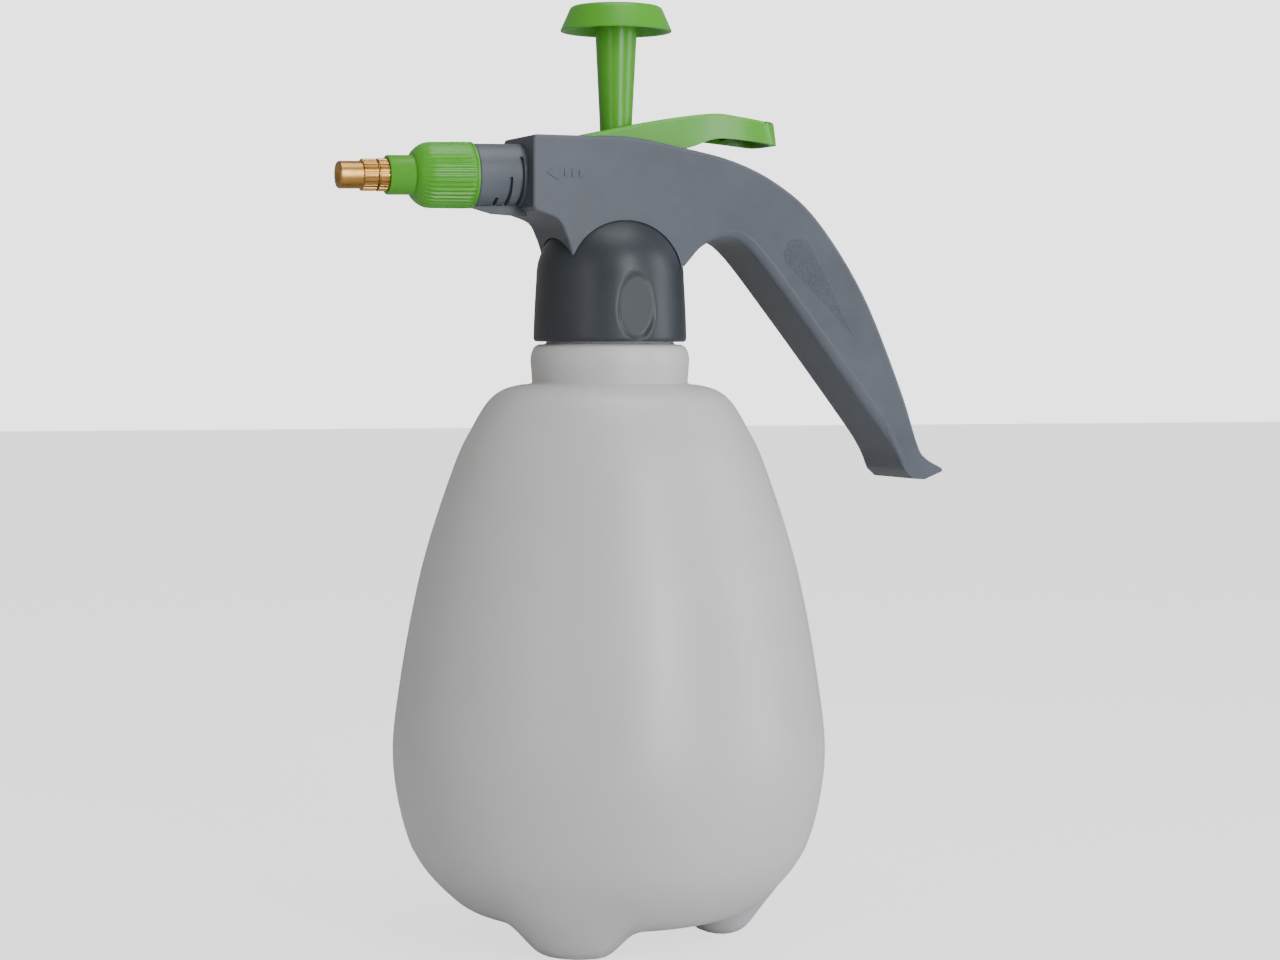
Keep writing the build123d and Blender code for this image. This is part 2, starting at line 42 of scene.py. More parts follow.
# ---- bottle -----------------------------------------------------------------------------------------
# Blow-moulded milky polyethylene, about two litres, with a soft sheen and three moulded feet. The neck
# carries a moulded ring and the thread that the collar nut screws onto.


class Value:
    """A socket that can be used in sums: each sum adds a Math node."""

    def __init__(self, socket):
        self.socket = socket

    def calc(self, operation, other, swapped=False):
        tree = self.socket.id_data
        node = tree.nodes.new("ShaderNodeMath")
        node.operation = operation
        terms = (other, self) if swapped else (self, other)
        for slot, term in zip(node.inputs, terms):
            if isinstance(term, Value):
                tree.links.new(term.socket, slot)
            else:
                slot.default_value = term
        return Value(node.outputs[0])

    def __add__(self, other):
        return self.calc("ADD", other)

    def __sub__(self, other):
        return self.calc("SUBTRACT", other)

    def __rsub__(self, other):
        return self.calc("SUBTRACT", other, swapped=True)

    def __mul__(self, other):
        return self.calc("MULTIPLY", other)

    __radd__ = __add__
    __rmul__ = __mul__


class Finish:
    """A material and the nodes that make it."""

    def __init__(self, name, constants):
        self.material = bpy.data.materials.new(name)
        self.material.use_nodes = True
        self.tree = self.material.node_tree
        self.shader = self.tree.nodes["Principled BSDF"]
        for socket, constant in constants.items():
            self.shader.inputs[socket].default_value = constant

    def add(self, kind, settings=None, sockets=None, output=0):
        """Adds a node, sets it, then fills its sockets with values or links, and returns one output."""
        node = self.tree.nodes.new(kind)
        for key, setting in (settings or {}).items():
            if key == "stops":
                ramp = node.color_ramp
                while len(ramp.elements) < len(setting):
                    ramp.elements.new(0.5)
                for stop, (place, colour) in zip(ramp.elements, setting):
                    stop.position, stop.color = place, (*colour, 1.0)
            else:
                setattr(node, key, setting)
        for key, item in (sockets or {}).items():
            if isinstance(item, Value):
                self.tree.links.new(item.socket, node.inputs[key])
            else:
                node.inputs[key].default_value = item
        return Value(node.outputs[output])

    def feed(self, socket, value):
        self.tree.links.new(value.socket, self.shader.inputs[socket])

    def place(self):
        return self.add("ShaderNodeTexCoord", output=3)

    def noise(self, scale, detail=3.0, roughness=0.5, vector=None):
        """Noise with cells of about one over the scale, in metres."""
        return self.add("ShaderNodeTexNoise", sockets={"Vector": vector or self.place(), "Scale": scale,
                                                       "Detail": detail, "Roughness": roughness})

    def mix(self, share, first, second):
        """Colour that goes from the first to the second as the share goes from 0 to 1."""
        return self.add("ShaderNodeMix", {"data_type": "RGBA"}, {0: share, 6: first, 7: second}, output=2)

    def spread(self, value, low, high, to_low=0.0, to_high=1.0):
        """Stretches the band from low to high of a value over a new range."""
        return self.add("ShaderNodeMapRange", None, {0: value, 1: low, 2: high, 3: to_low, 4: to_high})

    def bump(self, height, distance, strength=1.0):
        normal = self.add("ShaderNodeBump", None, {"Height": height, "Distance": distance, "Strength": strength})
        self.feed("Normal", normal)

    def wear(self):
        """0 on flats and 1 where an edge is rounded over: read from the mesh, where finish_piece writes it."""
        return self.add("ShaderNodeAttribute", {"attribute_name": "rounded_edge"}, output=2)


def colour(red, green, blue):
    return (red, green, blue, 1.0)


def clean_start():
    """Leaves edit mode and deselects everything, so that an operator acts only on the next piece."""
    if bpy.context.object and bpy.context.object.mode != "OBJECT":
        bpy.ops.object.mode_set(mode="OBJECT")
    bpy.ops.object.select_all(action="DESELECT")


def smooth_run(points, steps):
    """Points of a smooth curve through the given ones, with steps to each stretch."""
    run = []
    for i in range(len(points) - 1):
        p1, p2 = Vector(points[i]), Vector(points[i + 1])
        p0 = Vector(points[i - 1]) if i else p1 * 2 - p2
        p3 = Vector(points[i + 2]) if i + 2 < len(points) else p2 * 2 - p1
        for k in range(steps):
            t = k / steps
            point = (p1 * 2 + (p2 - p0) * t + (p0 * 2 - p1 * 5 + p2 * 4 - p3) * t * t
                     + (p1 * 3 - p0 - p2 * 3 + p3) * t * t * t) / 2
            run.append(tuple(point))
    run.append(tuple(points[-1]))
    return run


def chain(name, points):
    """A line of edges through points in millimetres, drawn by extruding one corner from each to the next."""
    clean_start()
    places = [Vector(p) * MM for p in points]
    bpy.ops.mesh.primitive_plane_add(size=MM, location=places[0])
    piece = bpy.context.object
    piece.name = piece.data.name = name
    bpy.ops.object.transform_apply(location=True)
    bpy.ops.object.mode_set(mode="EDIT")
    bpy.ops.mesh.select_all(action="SELECT")
    bpy.ops.mesh.merge(type="CENTER")
    for last, place in zip(places, places[1:]):
        bpy.ops.mesh.extrude_vertices_move(TRANSFORM_OT_translate={"value": place - last})
    bpy.ops.mesh.select_all(action="SELECT")
    return piece


def turned(name, outline, steps, centre=(0, 0, 0), axis=(0, 0, 1)):
    """Spins a (radius, height) outline in millimetres round an axis that runs up its height."""
    up = Vector(axis).normalized()
    side = Vector((1, 0, 0)) if abs(up.x) < 0.9 else Vector((0, 0, 1))
    side = (side - up * side.dot(up)).normalized()
    origin = Vector(centre)
    piece = chain(name, [origin + side * r + up * h for r, h in outline])
    bpy.ops.mesh.spin(steps=steps, angle=2 * pi, center=origin * MM, axis=up)
    bpy.ops.mesh.select_all(action="SELECT")
    bpy.ops.mesh.remove_doubles(threshold=0.002 * MM)
    bpy.ops.mesh.normals_make_consistent(inside=False)
    bpy.ops.object.mode_set(mode="OBJECT")
    return piece


def modify(piece, kind, **settings):
    """Adds a modifier with its settings and applies it."""
    clean_start()
    bpy.context.view_layer.objects.active = piece
    piece.select_set(True)
    modifier = piece.modifiers.new(kind.lower(), kind)
    for key, setting in settings.items():
        setattr(modifier, key, setting)
    bpy.ops.object.modifier_apply(modifier=modifier.name)


def finish_piece(piece, material, body, slot, *replaced, angle=35, flat_sides=None):
    """Smooth shading, material, the body that it moves with and the CAD nodes that it stands for.

    flat_sides is the axis that a piece's flat faces look along: its rounded edges are marked for the material.
    """
    if flat_sides is not None:
        marks = piece.data.attributes.new("rounded_edge", "FLOAT", "FACE")
        for face in piece.data.polygons:
            marks.data[face.index].value = (2 * abs(face.normal[flat_sides]) * sqrt(1 - face.normal[flat_sides] ** 2)
                                            if face.area < 30 * MM * MM else 0.0)
    clean_start()
    bpy.context.view_layer.objects.active = piece
    piece.select_set(True)
    bpy.ops.object.shade_smooth_by_angle(angle=radians(angle))
    if flat_sides is not None:
        modify(piece, "WEIGHTED_NORMAL", keep_sharp=True, weight=80)
    piece.data.materials.clear()
    piece.data.materials.append(material)
    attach(piece, body)
    if replaced:
        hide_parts(*replaced)


BOTTLE_SIDES = 144
BOTTLE_WALL = 1.8
FOOT_ANGLES, FOOT_R, FOOT_WIDENING = (112, 232, 352), 37.6, 1.4
belly = smooth_run([(0.4, 8.5), (14, 8.2), (28, 7.4), (43.5, 9.4), (53.6, 15.5), (65.3, 30.4), (71.3, 56.8),
                    (69.4, 83.2), (61.9, 122.8), (51.4, 155.8), (45.2, 169), (40.3, 177.0), (35.6, 180.9),
                    (30.2, 182.6), (26.6, 183.0)], 7)
ring = smooth_run([(25.75, 183.4), (25.7, 184.4), (26.15, 190.5), (25.9, 193.0), (25.0, 195.0), (23.6, 196.0)], 4)
rim = [(21.6, 196.1), (21.0, 196.6), (21.0, 213.2), (20.7, 213.8), (20.2, 214.0)]
bottle = turned("bottle_shell", belly + ring + rim, BOTTLE_SIDES)

feet = None
for foot_angle in FOOT_ANGLES:
    outline = [(0, 0), (7.2, 0), (8.8, 0.7), (14.2, 9), (17.9, 14), (21.2, 19), (16, 25), (0, 25)]
    foot = turned("foot", outline, 48)
    foot.data.transform(Matrix.Rotation(radians(foot_angle), 4, "Z") @ Matrix.Translation((FOOT_R * MM, 0, 0))
                        @ Matrix.Diagonal((1, FOOT_WIDENING, 1, 1)))
    if feet:
        clean_start()
        foot.select_set(True)
        feet.select_set(True)
        bpy.context.view_layer.objects.active = feet
        bpy.ops.object.join()
    else:
        feet = foot
low_group = bottle.vertex_groups.new(name="low")
for corner in bottle.data.vertices:
    if corner.co.z < 30 * MM:
        low_group.add([corner.index], 1.0, "REPLACE")
modify(bottle, "SHRINKWRAP", wrap_method="PROJECT", target=feet, project_limit=14 * MM, vertex_group="low")
modify(bottle, "SMOOTH", factor=0.5, iterations=9, vertex_group="low")
bpy.data.objects.remove(feet)
modify(bottle, "SOLIDIFY", thickness=BOTTLE_WALL * MM, offset=-1.0)

milky = Finish("milky_polyethylene", {"IOR": 1.5, "Transmission Weight": 0.4, "Subsurface Weight": 0.35,
                                      "Subsurface Scale": 0.02, "Subsurface Radius": (1.0, 0.95, 0.9)})
cloud = milky.noise(9.0, 2.0)
milky.feed("Base Color", milky.mix(milky.spread(cloud, 0.35, 0.65), colour(0.8, 0.79, 0.785),
                                   colour(0.86, 0.85, 0.848)))
milky.feed("Roughness", milky.spread(milky.noise(26.0), 0.3, 0.7, 0.34, 0.44))
milky.bump(milky.noise(60.0, 2.0), 0.15 * MM, 0.35)
finish_piece(bottle, milky.material, "bottle", "bottle", "bottle", angle=50)

# ---- collar nut -------------------------------------------------------------------------------------
# Dark grey polypropylene nut that clamps the pump head onto the bottle: a domed shell with a thread inside
# and two flat ovals for the fingers, one on each side, moulded in one piece.
COLLAR_LOW_R, COLLAR_HIGH_R, DOME_Z, DOME_HEIGHT, COLLAR_HOLE_R = 25.2, 24.3, 218.0, 22.7, 14.6


def dome_arc(extra, r_end, steps):
    """Quarter of the collar's domed top, from its shoulder up to a radius, grown by extra."""
    high_r, height = COLLAR_HIGH_R + extra, DOME_HEIGHT + extra
    last = acos(r_end / high_r)
    return [(high_r * cos(last * i / steps), DOME_Z + height * sin(last * i / steps)) for i in range(steps + 1)]


skirt = [(COLLAR_LOW_R - (COLLAR_LOW_R - COLLAR_HIGH_R) * (z / 34) ** 1.3, 199.0 + z * 0.55) for z in range(34)]
collar_outline = (skirt + dome_arc(0, COLLAR_HOLE_R, 20)
                  + [(14.6, 235.6), (14.6, 230.4), (17.5, 227), (17.5, 220.4), (22.9, 220.4), (22.9, 198.4),
                     (23.4, 197.5), (23.7, 196.9), (24.3, 196.9), (24.85, 197.15), (25.15, 197.7), (25.2, 198.3)])
collar = turned("collar_shell", collar_outline + collar_outline[:1], 240)
OVAL_HALF_W, OVAL_HALF_H, OVAL_Z, OVAL_FLAT, OVAL_SOFT = 6.4, 10.5, 208.4, 23.7, 0.09
for corner in collar.data.vertices:
    x, y, z = corner.co / MM
    r = hypot(x, y)
    if r < 23.0 + 0.3 or z > 221:
        continue
    facing = pi / 2 if y > 0 else -pi / 2
    outward, sideways = x * cos(facing) + y * sin(facing), y * cos(facing) - x * sin(facing)
    reach = hypot(sideways / OVAL_HALF_W, (z - OVAL_Z) / OVAL_HALF_H)
    share = min(max((1 + OVAL_SOFT - reach) / (2 * OVAL_SOFT), 0), 1)
    sunk = outward + (min(OVAL_FLAT, outward) - outward) * share * share * (3 - 2 * share)
    corner.co.x = (sunk * cos(facing) - sideways * sin(facing)) * MM
    corner.co.y = (sunk * sin(facing) + sideways * cos(facing)) * MM


def ridge(name, root_r, depth, z0, turns, pitch=5.0):
    """Screw thread ridge: a trapezoid swept up a helix, standing out by depth or in where depth is negative."""
    profile = [(root_r - depth * 0.25, 0, z0 - 1.1), (root_r + depth, 0, z0 - 0.55), (root_r + depth, 0, z0 + 0.55),
               (root_r - depth * 0.25, 0, z0 + 1.1)]
    piece = chain(name, profile)
    bpy.ops.mesh.edge_face_add()
    bpy.ops.object.mode_set(mode="OBJECT")
    modify(piece, "SCREW", angle=2 * pi * turns, screw_offset=pitch * turns * MM, steps=round(72 * turns),
           render_steps=round(72 * turns), use_normal_calculate=True)
    closed_outwards(piece)
    return piece


def closed_outwards(piece):
    """Merges doubles, closes the open ends and points every face outwards."""
    clean_start()
    bpy.context.view_layer.objects.active = piece
    bpy.ops.object.mode_set(mode="EDIT")
    bpy.ops.mesh.select_all(action="SELECT")
    bpy.ops.mesh.remove_doubles(threshold=0.002 * MM)
    bpy.ops.mesh.fill_holes(sides=0)
    bpy.ops.mesh.select_all(action="SELECT")
    bpy.ops.mesh.normals_make_consistent(inside=False)
    bpy.ops.object.mode_set(mode="OBJECT")


def joined(piece, *others):
    """Joins other meshes into a piece."""
    clean_start()
    for other in (piece, *others):
        other.select_set(True)
    bpy.context.view_layer.objects.active = piece
    bpy.ops.object.join()
    return piece


joined(collar, ridge("collar_thread", 22.9, -1.1, 202.5, 1.6))
neck_thread = ridge("bottle_neck_thread", 21.0, 1.1, 200.0, 1.9)
finish_piece(neck_thread, milky.material, "bottle", "bottle", angle=40)


def moulded(name, dark, light, grain, sheen, drift=0.5, patch=None):
    """Moulded plastic: slow drifts of tone, a fine eroded skin, and edges rubbed paler. A patch adds relief."""
    plastic = Finish(name, {"IOR": 1.49, "Specular IOR Level": 0.36})
    flow = plastic.noise(38.0, 3.0, 0.6)
    fine = plastic.noise(900.0, 4.0, 0.6)
    tone = plastic.mix(plastic.spread(flow, 0.5 - drift / 2, 0.5 + drift / 2), dark, light)
    rubbed = plastic.mix(plastic.wear() * 0.3, tone, colour(*[min(c * 1.9 + 0.04, 1) for c in light[:3]]))
    plastic.feed("Base Color", rubbed)
    plastic.feed("Roughness", plastic.spread(flow * 0.6 + fine * 0.4, 0.35, 0.65, sheen - 0.05, sheen + 0.06))
    relief = fine * grain + flow * 2.5
    plastic.bump(relief + patch(plastic) if patch else relief, 0.05 * MM, 0.6)
    return plastic


dark_grey = moulded("dark_grey_plastic", colour(0.023, 0.027, 0.033), colour(0.031, 0.036, 0.043), 0.5, 0.42)
finish_piece(collar, dark_grey.material, "collar", "collar", "collar_nut", angle=40)

# ---- head housing -----------------------------------------------------------------------------------
# Grey polypropylene moulding: the nozzle's spout, the valve tower, the pump's neck and the curved handle
# in one piece. The handle is hollow, open along its outer side and stiffened by cross ribs.
HEAD_HALF_W, NOZZLE_DROOP = 15.0, radians(1.2)
NOZZLE_CENTRE = Vector((-34.0, 0, 250.7))
NOZZLE_AXIS = Vector((cos(NOZZLE_DROOP), 0, sin(NOZZLE_DROOP)))
INNER_ROUNDING, OUTER_ROUNDING, FRONT_ROUNDING, LIP_ROUNDING = 3.4, 1.2, 0.9, 0.45


def pushed(name, points, push):
    """Solid made by pushing a flat closed outline of points along a vector, in millimetres."""
    piece = chain(name, points)
    bpy.ops.mesh.edge_face_add()
    bpy.ops.mesh.select_all(action="SELECT")
    bpy.ops.mesh.extrude_region_move(TRANSFORM_OT_translate={"value": Vector(push) * MM})
    bpy.ops.mesh.select_all(action="SELECT")
    bpy.ops.mesh.normals_make_consistent(inside=False)
    bpy.ops.object.mode_set(mode="OBJECT")
    return piece


def plate(name, outline, half_width):
    """Solid of a side view (x, z) that reaches the same way to both sides of the middle plane."""
    return pushed(name, [(x, -half_width, z) for x, z in outline], (0, 2 * half_width, 0))


def block(name, x, y, z):
    """Box between low and high values in millimetres, as a cutter or the start of a rib."""
    clean_start()
    centre = [(low + high) / 2 * MM for low, high in (x, y, z)]
    size = [(high - low) * MM for low, high in (x, y, z)]
    bpy.ops.mesh.primitive_cube_add(size=1, location=centre, scale=size)
    bpy.ops.object.transform_apply(location=True, scale=True)
    piece = bpy.context.object
    piece.name = name
    return piece


def peg(name, radius, low, high, x=0.0, steps=64):
    """Upright round solid between two heights."""
    return turned(name, [(0, low), (radius, low), (radius, high), (0, high)], steps, (x, 0, 0))


def combine(piece, tools, operation="DIFFERENCE"):
    """Cuts the tools away from a piece, or adds or keeps what they share, and removes the tools."""
    group = bpy.data.collections.new("tools")
    for tool in tools:
        group.objects.link(tool)
    modify(piece, "BOOLEAN", operation=operation, operand_type="COLLECTION", collection=group, solver="EXACT")
    for tool in tools:
        bpy.data.objects.remove(tool)
    bpy.data.collections.remove(group)


def rounded(piece, weigh, largest, segments):
    """Rounds edges with a bevel whose size is weigh(middle of the edge, its direction), in millimetres."""
    weights = piece.data.attributes.new("bevel_weight_edge", "FLOAT", "EDGE")
    for edge in piece.data.edges:
        start, end = [piece.data.vertices[i].co / MM for i in edge.vertices]
        weights.data[edge.index].value = weigh((start + end) / 2, (end - start).normalized()) / largest
    modify(piece, "BEVEL", width=largest * MM, segments=segments, limit_method="WEIGHT", use_clamp_overlap=False,
           miter_outer="MITER_SHARP")


outer_edge = smooth_run([(-14, 263.2), (1.7, 263.2), (16.7, 260.9), (37.9, 256.4), (54.7, 248.8), (69.0, 236.9),
                         (85.5, 213.1), (99.5, 181.8), (105.9, 163.0), (109.0, 158.0), (115.6, 154.3)], 6)
inner_edge = smooth_run([(101.2, 153.6), (97.0, 161.5), (86.8, 174.9), (61.3, 206.9), (44.0, 227.2), (35.0, 230.9),
                         (27.0, 228.2), (20.5, 221.6)], 6)
front_edge = smooth_run([(-18.4, 223.6), (-19.6, 228.0), (-20.8, 231.1), (-23.6, 235.9), (-31.0, 238.7)], 4)
side_view = (outer_edge + [(115.6, 153.2), (109.0, 150.6), (104.4, 150.9)] + inner_edge + [(16, 221), (-16, 221)]
             + front_edge + [(-32, 240), (-32, 262), (-31.6, 262.9), (-30.8, 263.2)])
housing = plate("head_shell", side_view, HEAD_HALF_W)


def housing_rounding(middle, direction):
    """How round each edge of the housing's outline is: softest where the fingers go."""
    if abs(abs(middle.y) - HEAD_HALF_W) > 0.01 or abs(direction.y) > 0.5:
        return 0.0
    if middle.x > 104 and middle.z < 160:
        return LIP_ROUNDING
    if middle.x < -17:
        return FRONT_ROUNDING
    if middle.z < 222.5 and abs(middle.x) < 21:
        return 0.0
    inner_side = middle.x < 103 and middle.z < 232 and middle.z - 153 < (103 - middle.x) * 1.45
    if not inner_side:
        return min(OUTER_ROUNDING, LIP_ROUNDING + 0.04 * max(middle.z - 160, 0)) if middle.x > 50 else OUTER_ROUNDING
    return min(INNER_ROUNDING, LIP_ROUNDING + 0.25 * (middle.z - 153), 0.5 + 0.16 * max(middle.x - 22, 0))


rounded(housing, housing_rounding, INNER_ROUNDING, 4)

channel_inner = smooth_run([(44, 232), (52, 224.4), (66.0, 208.0), (91.0, 176.4), (99.3, 165.0), (102.0, 160.0)], 5)
channel_view = channel_inner + [(130, 160), (130, 262), (40, 262), (40, 240)]
combine(housing, [plate("channel", channel_view, 11.5)])
RIB_PLACES = ((50, 238, 38), (62, 226, 30), (73, 211, 24), (83, 194, 20), (92, 177, 18))
ribs = []
for x, z, tilt in RIB_PLACES:
    rib = block("rib", (x - 17, x + 30), (-11.8, 11.8), (z - 0.9, z + 0.9))
    rib.data.transform(Matrix.Translation(Vector((x, 0, z)) * MM) @ Matrix.Rotation(radians(tilt), 4, "Y")
                       @ Matrix.Translation(-Vector((x, 0, z)) * MM))
    ribs.append(rib)
rib_view = [(x - 1.4, z - 1.4) for x, z in outer_edge] + [(102, 157)] + [(x + 0.9, z + 0.9) for x, z in inner_edge[1:-6]]
rib_view += [(30, 240), (-20, 250)]
rib_sheet = joined(*ribs)
combine(rib_sheet, [plate("rib_limit", rib_view, 12.5)], "INTERSECT")

spout = turned("spout", [(0, -28), (6.6, -28), (7.2, -27.4), (7.2, -14.1), (9.75, -14.1), (10.15, -13.7), (10.15, 8),
                         (0, 8)], 96, NOZZLE_CENTRE, NOZZLE_AXIS)
gills = []
for x, half_turn in ((-11.8, 60), (-7.8, 74), (-3.8, 88), (0.2, 101)):
    start = Vector((-NOZZLE_AXIS.z, 0, NOZZLE_AXIS.x))
    start.rotate(Quaternion(NOZZLE_AXIS, -radians(half_turn)))
    profile = [(8.8, x - 0.45), (8.8, x + 0.45), (9.2, x + 0.6), (11.5, x + 0.7), (11.5, x - 0.7), (9.2, x - 0.6)]
    gill = chain("gill", [NOZZLE_CENTRE + start * r + NOZZLE_AXIS * h for r, h in profile])
    bpy.ops.mesh.edge_face_add()
    bpy.ops.mesh.select_all(action="SELECT")
    bpy.ops.mesh.spin(steps=40, angle=2 * radians(half_turn), center=NOZZLE_CENTRE * MM, axis=NOZZLE_AXIS)
    bpy.ops.mesh.select_all(action="SELECT")
    bpy.ops.mesh.normals_make_consistent(inside=False)
    bpy.ops.object.mode_set(mode="OBJECT")
    gills.append(gill)
combine(spout, gills)
web = plate("web", [(-47.8, 240.6), (-47.8, 239.9), (-41, 238.1), (-30, 237.4), (-28, 243), (-47, 243)], 1.6)
dome_outline = [(0, 190), (25.55, 190)] + dome_arc(0.35, 0.0, 22)
combine(housing, [turned("dome", dome_outline, 144)])
arrow = [plate("arrow", [(-27.5, 251), (-23.5, 253.4), (-23.5, 248.6)], 15.25)]
for i in range(3):
    x = -21.5 + 2.6 * i
    arrow.append(block("arrow_bar", (x, x + 1.5), (-15.25, 15.25), (249.8, 252.2)))
neck = peg("neck", 14.2, 217, 243, steps=96)
flange = peg("flange", 20.5, 217, 220, steps=96)
combine(housing, [rib_sheet, spout, web, neck, flange, *arrow], "UNION")

slot = block("slot", (-28.5, 37), (-11, 11), (253, 275))
combine(slot, [block("rear_pocket", (16, 36), (-11, 11), (241, 260)),
               *[block("front_pocket", (-28, -18), (side * 7 - 3, side * 7 + 3), (242, 260)) for side in (-1, 1)]],
        "UNION")
combine(slot, [block("pocket_rib", (25, 27), (-12, 12), (240, 252)), peg("tower", 6.6, 252, 253.5, -11.2)])
PIVOT = Vector((-24.0, 0, 256.6))
combine(housing, [slot, peg("pump_bore", 5.55, 226, 260, 1.9), peg("cylinder_bore", 9.72, 210, 226, 1.9),
                  peg("liquid_bore", 2.17, 210, 223, -11.2), peg("valve_bore", 4.4, 244.7, 260, -11.2),
                  peg("spring_bore", 3.4, 237.5, 245, -11.2),
                  turned("pivot_bore", [(0, -12.8), (2.46, -12.8), (2.46, 12.8), (0, 12.8)], 48, PIVOT, (0, 1, 0)),
                  turned("nozzle_bore", [(0, -36), (4.4, -36), (4.4, -18), (0, -18)], 48, NOZZLE_CENTRE,
                         NOZZLE_AXIS)])


def stipple(plastic):
    """Raised grains in a drop-shaped patch on each side of the handle, widest at its top."""
    head_x, head_z, tail_x, tail_z = 61.5 * MM, 226 * MM, 82 * MM, 199 * MM
    length = hypot(tail_x - head_x, tail_z - head_z)
    ux, uz = (tail_x - head_x) / length, (tail_z - head_z) / length
    place = plastic.add("ShaderNodeSeparateXYZ", None, {"Vector": plastic.place()})
    x = Value(place.socket.node.outputs[0]) - head_x
    z = Value(place.socket.node.outputs[2]) - head_z
    along, sideways = x * ux + z * uz, (x * uz - z * ux)
    from_head = (along * along + sideways * sideways).calc("SQRT", 0)
    round_end = plastic.spread(from_head, 5.2 * MM, 5.7 * MM, 1.0, 0.0)
    taper = plastic.spread(along, 0.0, length * 1.15, 5.6 * MM, -0.6 * MM) - sideways.calc("ABSOLUTE", 0)
    tail = plastic.spread(taper, 0.0, 0.5 * MM) * plastic.spread(along, -0.5 * MM, 0.5 * MM)
    inside = round_end.calc("MAXIMUM", tail)
    return inside * plastic.spread(plastic.noise(1300.0, 2.0, 0.7), 0.4, 0.6, 0.0, 6.0)


grey = moulded("grey_plastic", colour(0.048, 0.055, 0.068), colour(0.068, 0.077, 0.094), 0.5, 0.46, 0.35, stipple)
finish_piece(housing, grey.material, "head", "housing", "head_housing", angle=32, flat_sides=1)

# ---- pump knob --------------------------------------------------------------------------------------
# Green polypropylene knob and plunger in one moulding: a shallow hollow cap on a tapered stem that is
# pressed onto the piston's rod.
PUMP_X = 1.9
KNOB_OUTLINE = [(0, 307.0), (12.8, 306.85), (14.1, 306.65), (14.9, 306.2), (15.35, 305.5), (18.0, 299.5), (18.28, 298.9),
                (18.15, 298.5), (17.8, 298.4), (17.1, 298.5), (16.6, 298.9), (13.6, 303.0), (12.8, 303.8), (9.4, 304.0),
                (7.9, 303.7), (7.2, 302.8), (6.9, 300), (6.7, 295.7), (5.4, 270), (5.2, 264), (5.2, 200), (3.6, 200),
                (3.6, 262), (0, 262)]
knob = turned("pump_knob", KNOB_OUTLINE, 120, (PUMP_X, 0, 0))
green = moulded("green_plastic", colour(0.055, 0.275, 0.012), colour(0.07, 0.325, 0.018), 0.3, 0.32)
finish_piece(knob, green.material, "pump", "green_plastic", "pump_handle", angle=35)

# ---- thumb lever ------------------------------------------------------------------------------------
# Green polypropylene lever, a thin shell open underneath: it turns on its own moulded axle at the front,
# the pump's stem passes through its long hole, and a cross bar presses the valve's stem.
LEVER_WALL, LEVER_ROUNDING = 1.9, 1.1
lever_top = smooth_run([(-24.8, 259.7), (-12.7, 263.8), (2, 267.2), (18.8, 270.4), (33.0, 272.2), (41.5, 271.4),
                        (53.4, 269.7), (55.9, 268.9)], 4)
lever_end = [(56.3, 268.0), (56.9, 266.0), (57.4, 262.7), (57.1, 262.35)]
lever_low = smooth_run([(55.0, 262.3), (43.7, 263.5), (33.1, 263.8), (23.2, 260.4), (4.0, 256.9), (-10.0, 254.9),
                        (-24.0, 253.6)], 4)
lever_view = lever_top + lever_end + lever_low + [(-26.0, 254.2), (-26.9, 255.6), (-27.1, 257.2), (-26.4, 258.8)]


def lever_plan(inward):
    """Half widths along the lever: parallel, then swelling at the thumb rest, with a round end."""
    side = smooth_run([(-28, 9.6), (8, 9.6), (20, 9.75), (30, 10.1), (43, 11.4), (51.5, 11.0), (54.9, 9.5),
                       (56.7, 6.2), (57.3, 0)], 4)
    side = [(x - inward * min(max(x / 57.3, 0), 1), w - inward) for x, w in side if w > inward + 0.05]
    return side + [(57.3 - inward, 0)] + [(x, -w) for x, w in reversed(side)]


def upright(name, plan, low, high):
    """Solid of a plan (x, y) between two heights."""
    return pushed(name, [(x, y, low) for x, y in plan], (0, 0, high - low))


lever = plate("lever_shell", lever_view, 14)
outer_plan, core_plan = upright("lever_plan", lever_plan(0), 240, 280), upright("core_plan", lever_plan(LEVER_WALL), 240, 280)
for plan in (outer_plan, core_plan):
    for corner in plan.data.vertices:
        lean = 0.33 * (262.5 * MM - corner.co.z) * max(corner.co.x - 40 * MM, 0) / (17.3 * MM)
        corner.co.x += lean
combine(lever, [outer_plan], "INTERSECT")
core_view = [(x, z - LEVER_WALL) for x, z in lever_top if x > -19] + [(55.6, 264), (55.5, 241), (-19, 241)]
core = plate("lever_core", core_view, 13)
combine(core, [core_plan], "INTERSECT")
combine(lever, [core])
top_view = [(x, z - 0.4) for x, z in lever_top] + [(55.5, 262.5), (43.7, 264.3), (33, 264.8), (20, 262), (-22, 256)]
bars = [block("presser", (-14.2, -8.2), (-9, 9), (261.35, 270))]
for x in (20.0, 32.0, 44.0):
    bars.append(block("lever_rib", (x - 0.7, x + 0.7), (-11, 11), (264.6, 275)))
bar_sheet = joined(*bars)
combine(bar_sheet, [plate("bar_limit", top_view, 8.9)], "INTERSECT")
axle = turned("axle", [(0, -12.6), (2.1, -12.6), (2.4, -12.3), (2.4, 12.3), (2.1, 12.6), (0, 12.6)], 48, PIVOT, (0, 1, 0))
combine(lever, [bar_sheet, axle], "UNION")
hole_plan = []
for middle, first in ((2.3, -90), (0.3, 90)):
    hole_plan += [(middle + 6.5 * cos(radians(first + 7.5 * i)), 6.5 * sin(radians(first + 7.5 * i))) for i in range(25)]
combine(lever, [upright("stem_hole", hole_plan, 240, 290)])


